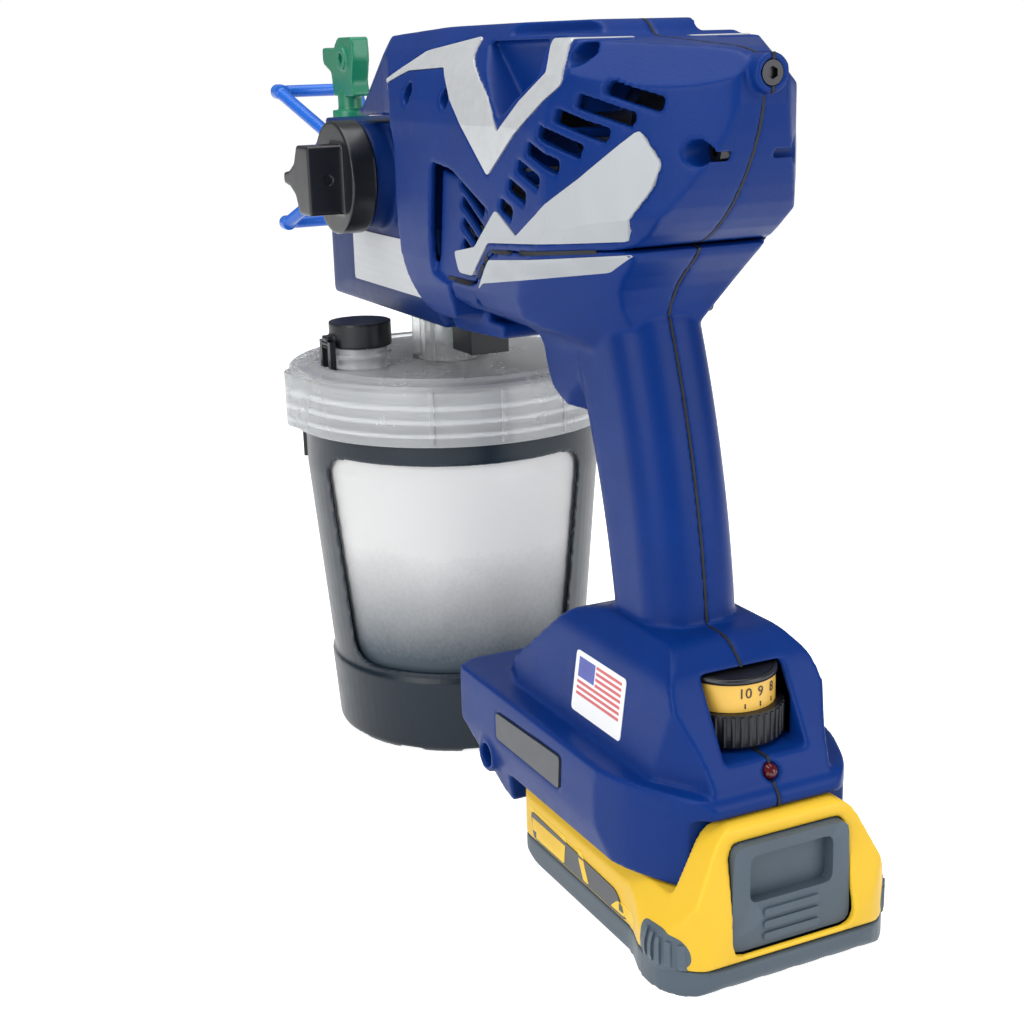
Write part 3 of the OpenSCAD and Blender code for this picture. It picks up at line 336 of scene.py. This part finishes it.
def weldNode(node, reach):
    weld = nodes[node].modifiers.new("joined", "WELD")
    weld.merge_threshold = reach


def roundEdges(node, c):
    weldNode(node, c["merge"])
    bevel = nodes[node].modifiers.new("rounded", "BEVEL")
    bevel.width = c["width"]
    bevel.segments = c["segments"]
    bevel.limit_method = "ANGLE"
    bevel.angle_limit = math.radians(c["angle"])
    bevel.harden_normals = False


for node in crisp["nodes"].split():
    roundEdges(node, crisp)
# panels and trims stand just clear of the softened shell, and the trigger of its softened slot
for node, grow in raised["nodes"].items():
    weldNode(node, raised["merge"])
    proud = nodes[node].modifiers.new("proud", "DISPLACE")
    proud.mid_level = 0.0
    proud.strength = grow
print("edges softened")


# helpers for the added pieces
def mm(*values):
    return tuple(v / 1000 for v in values)


def addPiece(name, points, faces, finish, body, slotName, smooth=False):
    mesh = bpy.data.meshes.new(name)
    mesh.from_pydata([mm(*p) for p in points], [], faces)
    shape = bmesh.new()
    shape.from_mesh(mesh)
    loose = [v for v in shape.verts if not v.link_faces]
    bmesh.ops.delete(shape, geom=loose, context="VERTS")
    bmesh.ops.recalc_face_normals(shape, faces=shape.faces)
    shape.to_mesh(mesh)
    shape.free()
    for face in mesh.polygons:
        face.use_smooth = smooth
    mesh.materials.append(finishes[finish])
    piece = addToScene(name, mesh)
    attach(piece, body)
    return piece


def surfaceOf(*names):
    depsgraph = bpy.context.evaluated_depsgraph_get()
    points, faces = [], []
    for name in names:
        shape = nodes[name].evaluated_get(depsgraph)
        mesh = shape.to_mesh()
        first = len(points)
        points += [nodes[name].matrix_world @ v.co for v in mesh.vertices]
        faces += [[first + i for i in p.vertices] for p in mesh.polygons]
        shape.to_mesh_clear()
    return BVHTree.FromPolygons(points, faces)


def gridOf(outline, step, near=0.001):
    # an outline filled with faces that are cut along a square grid
    shape = bmesh.new()
    shape.faces.new([shape.verts.new((x, z, 0)) for x, z in outline])
    for axis in (0, 1):
        low, high = min(p[axis] for p in outline), max(p[axis] for p in outline)
        normal = (1, 0, 0) if axis == 0 else (0, 1, 0)
        for i in range(1, int((high - low) / step) + 1):
            at = [0, 0, 0]
            at[axis] = low + i * step
            geometry = shape.verts[:] + shape.edges[:] + shape.faces[:]
            bmesh.ops.bisect_plane(shape, geom=geometry, plane_co=at, plane_no=normal, dist=near)
    bmesh.ops.triangulate(shape, faces=[f for f in shape.faces if len(f.verts) > 4])
    shape.verts.ensure_lookup_table()
    points = [(v.co.x, v.co.y) for v in shape.verts]
    faces = [[v.index for v in f.verts] for f in shape.faces]
    shape.free()
    return points, faces


def thicken(upper, lower, faces):
    # a closed shell between two copies of the same faces
    edges = {}
    for row in faces:
        for a, b in zip(row, row[1:] + row[:1]):
            edges.setdefault((min(a, b), max(a, b)), []).append((a, b))
    rim = [pairs[0] for pairs in edges.values() if len(pairs) == 1]
    count = len(upper)
    shell = [list(f) for f in faces] + [[i + count for i in reversed(f)] for f in faces]
    return list(upper) + list(lower), shell + [[b, a, a + count, b + count] for a, b in rim]


def decal(name, outline, surface, finish, body, slotName, lift, depth, side=1, step=3.0, away=90, jump=6):
    # a thin pad that lies on the surface, seen along Y; outline is in X and Z, side is 1 for left
    flat, faces = gridOf(outline, step)
    ray = Vector((0, -side, 0))
    upper, lower, reach = [], [], []
    for x, z in flat:
        start = Vector((x, side * away, z))
        hit = surface.ray_cast(Vector(mm(*start)), ray)[0]
        spot = hit * 1000 if hit else start
        reach.append((spot - start).length if hit else None)
        upper.append(tuple(spot - ray * lift))
        lower.append(tuple(spot + ray * (depth - lift)))
    # only the faces whose corners all lie on the surface, with no jump between them
    kept = []
    for f in faces:
        deep = [reach[i] for i in f]
        if None not in deep and max(deep) - min(deep) < jump:
            kept.append(list(f))
    return addPiece(name, *thicken(upper, lower, kept), finish, body, slotName)


def rounded(outline, radius, steps=3):
    points = []
    for i, corner in enumerate(outline):
        before, after = Vector(outline[i - 1]), Vector(outline[(i + 1) % len(outline)])
        corner = Vector(corner)
        reach = min(radius, (before - corner).length * 0.45, (after - corner).length * 0.45)
        a = corner + (before - corner).normalized() * reach
        b = corner + (after - corner).normalized() * reach
        for k in range(steps + 1):
            t = k / steps
            points.append(tuple((1 - t) * (1 - t) * a + 2 * t * (1 - t) * corner + t * t * b))
    return points


def band(path, width):
    # a strip of one width along a path, as an outline
    left, right = [], []
    for i, point in enumerate(path):
        before, after = Vector(path[max(i - 1, 0)]), Vector(path[min(i + 1, len(path) - 1)])
        across = (after - before).normalized()
        across = Vector((-across.y, across.x)) * width / 2
        left.append(tuple(Vector(point) + across))
        right.append(tuple(Vector(point) - across))
    return left + right[::-1]


# black line along the parting plane: the shells' own section, a little thicker than the gap
parting = dict(thick=0.45, flat=0.00002,
               nodes=dict(housingParting="housing_left", handleParting="handle_left"))


def partingLine(name, node, thick, flat):
    mesh = nodes[node].data
    turn = nodes[node].matrix_world
    points, faces, found = [], [], {}
    for face in mesh.polygons:
        corners = [turn @ mesh.vertices[i].co for i in face.vertices]
        if max(abs(c.y) for c in corners) > flat:
            continue
        row = []
        for c in corners:
            key = (round(c.x, 6), round(c.z, 6))
            if key not in found:
                found[key] = len(points)
                points.append(key)
            row.append(found[key])
        if len(set(row)) > 2:
            faces.append(row)
    upper = [(x * 1000, thick, z * 1000) for x, z in points]
    lower = [(x * 1000, -thick, z * 1000) for x, z in points]
    return addPiece(name, *thicken(upper, lower, faces), "seamBlack", "gun", "black_plastic")


for name, node in parting["nodes"].items():
    partingLine(name, node, parting["thick"], parting["flat"])
print("parting lines made")

# the side panel's lower strip, and the black seam between body and handle
bodySide = surfaceOf("housing_left", "handle_left", "panel_left", "trim_left")
farSide = surfaceOf("housing_right", "handle_right", "panel_right", "trim_right")
sideStrip = dict(
    strip=[(72.6, 197.0), (60.2, 207.9), (-2.5, 214.2), (8.4, 208.0), (68, 199.4)],
    corner=1.2, lift=0.2, depth=0.6,
)
seam = dict(
    path=[(99, 197.9), (88, 197.9), (76, 197.9), (72.5, 199.6), (61, 209.2), (58, 210.7), (30, 212.9),
          (-1.5, 215.4)],
    width=1.3, lift=0.3, depth=0.6,
)
for side, surface, tag in ((1, bodySide, "Left"), (-1, farSide, "Right")):
    decal("lowerStrip" + tag, rounded(sideStrip["strip"], sideStrip["corner"]), surface, "panelGrey", "gun",
          "panel_grey", sideStrip["lift"], sideStrip["depth"], side)
    decal("seamLine" + tag, band(seam["path"], seam["width"]), surface, "seamBlack", "gun", "black_plastic",
          seam["lift"], seam["depth"], side)
print("side panel finished")

# sticker on the tower: white, with plain stripes and a plain blue corner
sticker = dict(corner=(28.7, 82.6), across=-32.4, down=-19.8, lean=0.06, round=1.6, lift=0.22, depth=0.6,
               printLift=0.26, printDepth=0.3, edge=0.07, top=0.085, end=0.93, blueEnd=0.4, blueFoot=0.415,
               stripes=7, stripeStep=0.096, stripeHeight=0.05, shortStripes=4, shortStart=0.42)


def onSticker(c, left, top, right, foot):
    # a box given in shares of the sticker's width and height, in X and Z
    corners = [(left, top), (right, top), (right, foot), (left, foot)]
    return [(c["corner"][0] + c["across"] * u + c["lean"] * c["down"] * v, c["corner"][1] + c["down"] * v)
            for u, v in corners]


def printOn(c, name, outline, finish):
    decal(name, outline, bodySide, finish, "gun", "label_silver", c["printLift"], c["printDepth"])


decal("stickerBase", rounded(onSticker(sticker, 0, 0, 1, 1), sticker["round"]), bodySide, "stickerWhite", "gun",
      "label_silver", sticker["lift"], sticker["depth"])
for i in range(sticker["stripes"]):
    top = sticker["top"] + i * sticker["stripeStep"]
    start = sticker["shortStart"] if i < sticker["shortStripes"] else sticker["edge"]
    stripe = onSticker(sticker, start, top, sticker["end"], top + sticker["stripeHeight"])
    printOn(sticker, "stickerStripe%d" % i, stripe, "stickerRed")
blue = onSticker(sticker, sticker["edge"], sticker["top"], sticker["blueEnd"], sticker["blueFoot"])
printOn(sticker, "stickerCorner", blue, "stickerBlue")
print("sticker made")

# battery: bare yellow fields on the dark side label, and the ribbed grip panel
packSide = surfaceOf("battery_cover", "battery_tray", "battery_labels")
packFarSide = surfaceOf("battery_cover", "battery_tray")
packFields = dict(
    lift=0.1, depth=0.4, corner=0.8,
    fields=dict(front=[(46.6, 20.6), (19.6, 20.6), (20.6, 10.6), (44.9, 10.6)],
                slash=[(12.0, 20.2), (8.4, 20.2), (3.6, 10.8), (7.2, 10.8)],
                back=[(-11.1, 10.8), (-15.2, 14.4), (-27.4, 14.8), (-27.4, 10.8)]),
)
packGrip = dict(
    outline=[(-35.5, 19.5), (-46, 20.4), (-51.5, 19.0), (-53.5, 16.0), (-54, 11.5), (-51.5, 8.4), (-44, 7.2),
             (-36.0, 7.6)],
    corner=2.0, lift=0.35, depth=1.2,
    ribs=5, ribStep=3.3, ribFrom=-38.2, ribWidth=1.5, ribTop=18.6, ribFall=0.3, ribFoot=8.6,
    ribCorner=0.6, ribLift=1.1, ribDepth=1.4, ribGrid=2.0,
)
gripOutline = rounded(packGrip["outline"], packGrip["corner"])
for name, outline in packFields["fields"].items():
    decal("packField_" + name, rounded(outline, packFields["corner"]), packSide, "batteryYellow", "battery",
          "battery_yellow", packFields["lift"], packFields["depth"])
for name, surface, side in (("packGrip", packSide, 1), ("packGripFar", packFarSide, -1)):
    decal(name, gripOutline, surface, "batteryGrey", "battery", "battery_grey", packGrip["lift"],
          packGrip["depth"], side)
for i in range(packGrip["ribs"]):
    x = packGrip["ribFrom"] - i * packGrip["ribStep"]
    back = x - packGrip["ribWidth"]
    top = packGrip["ribTop"] - packGrip["ribFall"] * i
    foot = packGrip["ribFoot"]
    rib = rounded([(x, top), (back, top), (back, foot), (x, foot)], packGrip["ribCorner"])
    for side, tag in ((1, "Left"), (-1, "Right")):
        decal("packRib%d%s" % (i, tag), rib, packSide, "batteryGrey", "battery", "battery_grey",
              packGrip["ribLift"], packGrip["ribDepth"], side, packGrip["ribGrid"])
print("battery side made")

# speed scale: plain numbers and marks on the dial's gold band, and above it a black ring of painted shade where
# the overhang shades the band's top
dial = dict(centre=(-19, 0), radius=14.9, low=79.4, high=86.4, numbers="10 9 8 7 6 5 4 3 2 1",
            first=168, turn=21, size=4.6, rise=0.6, print=0.08, sink=0.993, markLow=-0.6, markHigh=0.9,
            markHalf=0.7, markInset=0.1, markSteps=3, rim=(13.6, 15.3, 86.6, 88.3), shadeRingSteps=72)


def onDial(radius, angle, height):
    return dial["centre"][0] + radius * math.cos(angle), dial["centre"][1] + radius * math.sin(angle), height


def digits(name, words, angle, size):
    text = bpy.data.curves.new(name, "FONT")
    text.body = words
    text.size = 1.0
    text.align_x = "CENTER"
    text.align_y = "CENTER"
    holder = addToScene(name + "Curve", text)
    bpy.context.view_layer.update()
    flat = bpy.data.meshes.new_from_object(holder.evaluated_get(bpy.context.evaluated_depsgraph_get()))
    bpy.data.objects.remove(holder)
    middle = (dial["low"] + dial["high"]) / 2 + dial["rise"]
    points = [onDial(dial["radius"] + dial["print"], math.radians(angle) + v.co.x * size / dial["radius"],
                     middle + v.co.y * size) for v in flat.vertices]
    faces = [list(p.vertices) for p in flat.polygons]
    x0, sink = dial["centre"][0], dial["sink"]
    inner = [(x0 + (x - x0) * sink, y * sink, z) for x, y, z in points]
    return addPiece(name, *thicken(points, inner, faces), "inkBlack", "dial", "black_plastic")


def arcShell(name, size, first, last, finish, steps):
    # a curved bar round the dial's axis, from its inner and outer radius and its low and high edge
    inner, outer, low, high = size
    points, faces = [], []
    for i in range(steps + 1):
        a = math.radians(first + (last - first) * i / steps)
        points += [onDial(r, a, z) for r, z in ((inner, low), (outer, low), (outer, high), (inner, high))]
    for i in range(steps):
        p, q = 4 * i, 4 * i + 4
        faces += [[p + k, p + (k + 1) % 4, q + (k + 1) % 4, q + k] for k in range(4)]
    if last - first < 360:
        faces += [[0, 1, 2, 3], [4 * steps + k for k in (3, 2, 1, 0)]]
    return addPiece(name, points, faces, finish, "dial", "black_plastic", True)


markSize = (dial["radius"] - dial["markInset"], dial["radius"] + dial["print"],
            dial["low"] + dial["markLow"], dial["low"] + dial["markHigh"])
for i, number in enumerate(dial["numbers"].split()):
    angle = dial["first"] + i * dial["turn"]
    digits("dialNumber" + number, number, angle, dial["size"])
    arcShell("dialMark" + number, markSize, angle - dial["markHalf"], angle + dial["markHalf"], "inkBlack",
             dial["markSteps"])
# painted shade: a black ring over the band's top, where the housing's overhang casts its shade
arcShell("dialTopShade", dial["rim"], 0, 360, "knobBlack", dial["shadeRingSteps"])
print("speed scale made")

# lid: thread rings behind its clear skirt
lid = dict(centre=(188, 0), steps=96, inner=62.8, outer=64.9, chamfer=0.4,
           rings=dict(threadHigh=(143.4, 146.0), threadMiddle=(138.2, 140.6), threadLow=(133.2, 135.2)))


def turned(name, profile, centre, finish, body, slotName, steps):
    # a closed ring: a profile of radius and height turned about an upright axis
    points, faces = [], []
    count = len(profile)
    for i in range(steps):
        a = 2 * math.pi * i / steps
        points += [(centre[0] + r * math.cos(a), centre[1] + r * math.sin(a), z) for r, z in profile]
    for i in range(steps):
        p, q = i * count, (i + 1) % steps * count
        faces += [[p + k, p + (k + 1) % count, q + (k + 1) % count, q + k] for k in range(count)]
    return addPiece(name, points, faces, finish, body, slotName, True)


for name, (low, high) in lid["rings"].items():
    profile = [(lid["inner"], low), (lid["outer"], low + lid["chamfer"]),
               (lid["outer"], high - lid["chamfer"]), (lid["inner"], high)]
    turned(name, profile, lid["centre"], "threadWhite", "gun", "lid_plastic", lid["steps"])
print("lid finished")

# studio: a pale floor that keeps the shadow, a white surround and three soft lamps
studio = dict(floor=(0.85, 0.86, 0.87), floorReach=6.0, floorGlow=0.8, surround=0.26, aim=(0.1, 0, 0.14),
              lamps=[dict(name="overhead", at=(0.1, 0.1, 1.3), size=1.2, power=14),
                     dict(name="left", at=(-0.5, 1.2, 0.6), size=0.9, power=11),
                     dict(name="behind", at=(-1.1, -0.7, 0.6), size=0.9, power=9)])


def seenDirectly(f):
    path = f.node("ShaderNodeLightPath", out="Is Camera Ray")
    for other in ("Is Glossy Ray", "Is Transmission Ray"):
        path = path + f.node("ShaderNodeLightPath", out=other)
    return path > 0.5


def buildStudio(s):
    mesh = bpy.data.meshes.new("floor")
    far = s["floorReach"]
    mesh.from_pydata([(-far, -far, 0), (far, -far, 0), (far, far, 0), (-far, far, 0)], [], [(0, 1, 2, 3)])
    f = Finish("floorPaper", **{"Roughness": 0.9, "Emission Strength": s["floorGlow"]})
    f.set(colour=s["floor"], glow=f.blend(seenDirectly(f), (0, 0, 0), (1, 1, 1)))
    mesh.materials.append(f.material)
    floor = addToScene("floor", mesh)
    for lamp in s["lamps"]:
        data = bpy.data.lights.new(lamp["name"], "AREA")
        data.size = lamp["size"]
        data.energy = lamp["power"]
        obj = addToScene(lamp["name"], data)
        obj.location = lamp["at"]
        aim = Vector(s["aim"]) - Vector(lamp["at"])
        obj.rotation_euler = aim.to_track_quat("-Z", "Y").to_euler()
    world = bpy.data.worlds.new("surround")
    bpy.context.scene.world = world
    world.use_nodes = True
    sky = NodeTree(world.node_tree)
    direct = sky.node("ShaderNodeBackground", values={0: (1, 1, 1), 1: 1.0})
    around = sky.node("ShaderNodeBackground", values={0: (1, 1, 1), 1: s["surround"]})
    seen = sky.node("ShaderNodeLightPath", out="Is Camera Ray")
    mixed = sky.node("ShaderNodeMixShader", values={0: seen, 1: around, 2: direct})
    sky.close("ShaderNodeOutputWorld", mixed.socket)
    bpy.context.scene.view_settings.view_transform = "Standard"


buildStudio(studio)
print("studio built")
